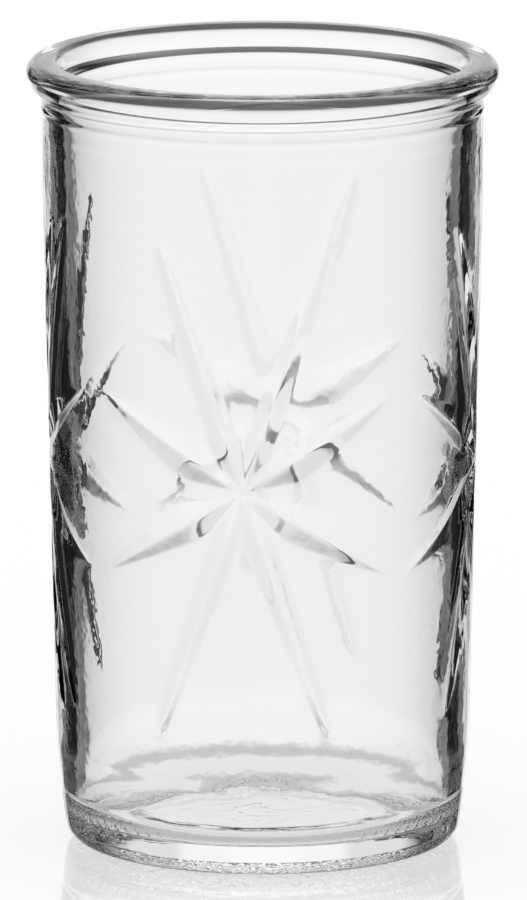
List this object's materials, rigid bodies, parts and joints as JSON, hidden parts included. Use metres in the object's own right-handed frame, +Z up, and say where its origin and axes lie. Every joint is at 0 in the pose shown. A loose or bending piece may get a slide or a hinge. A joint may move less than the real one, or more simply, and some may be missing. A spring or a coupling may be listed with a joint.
{
  "type": "drinking tumbler",
  "caption": "Clear pressed-glass tumbler with a rolled lid bead, a tapered wall with cut starbursts, a rounded heel and a thick base.",
  "frame": {"origin": "centre of the foot, on the plane of the resting ring", "axes": "+Z up along the glass's own axis, from foot to lip; a star faces each of -Y, +X, +Y and -X"},
  "size_m": [0.072, 0.072, 0.121],
  "materials": {
    "glass": "clear fire-polished pressed glass"
  },
  "bodies": {
    "root": {"rim_bead": "glass", "neck_band": "glass", "star_wall": "glass", "heel": "glass", "base_disc": "glass"}
  },
  "joints": []
}
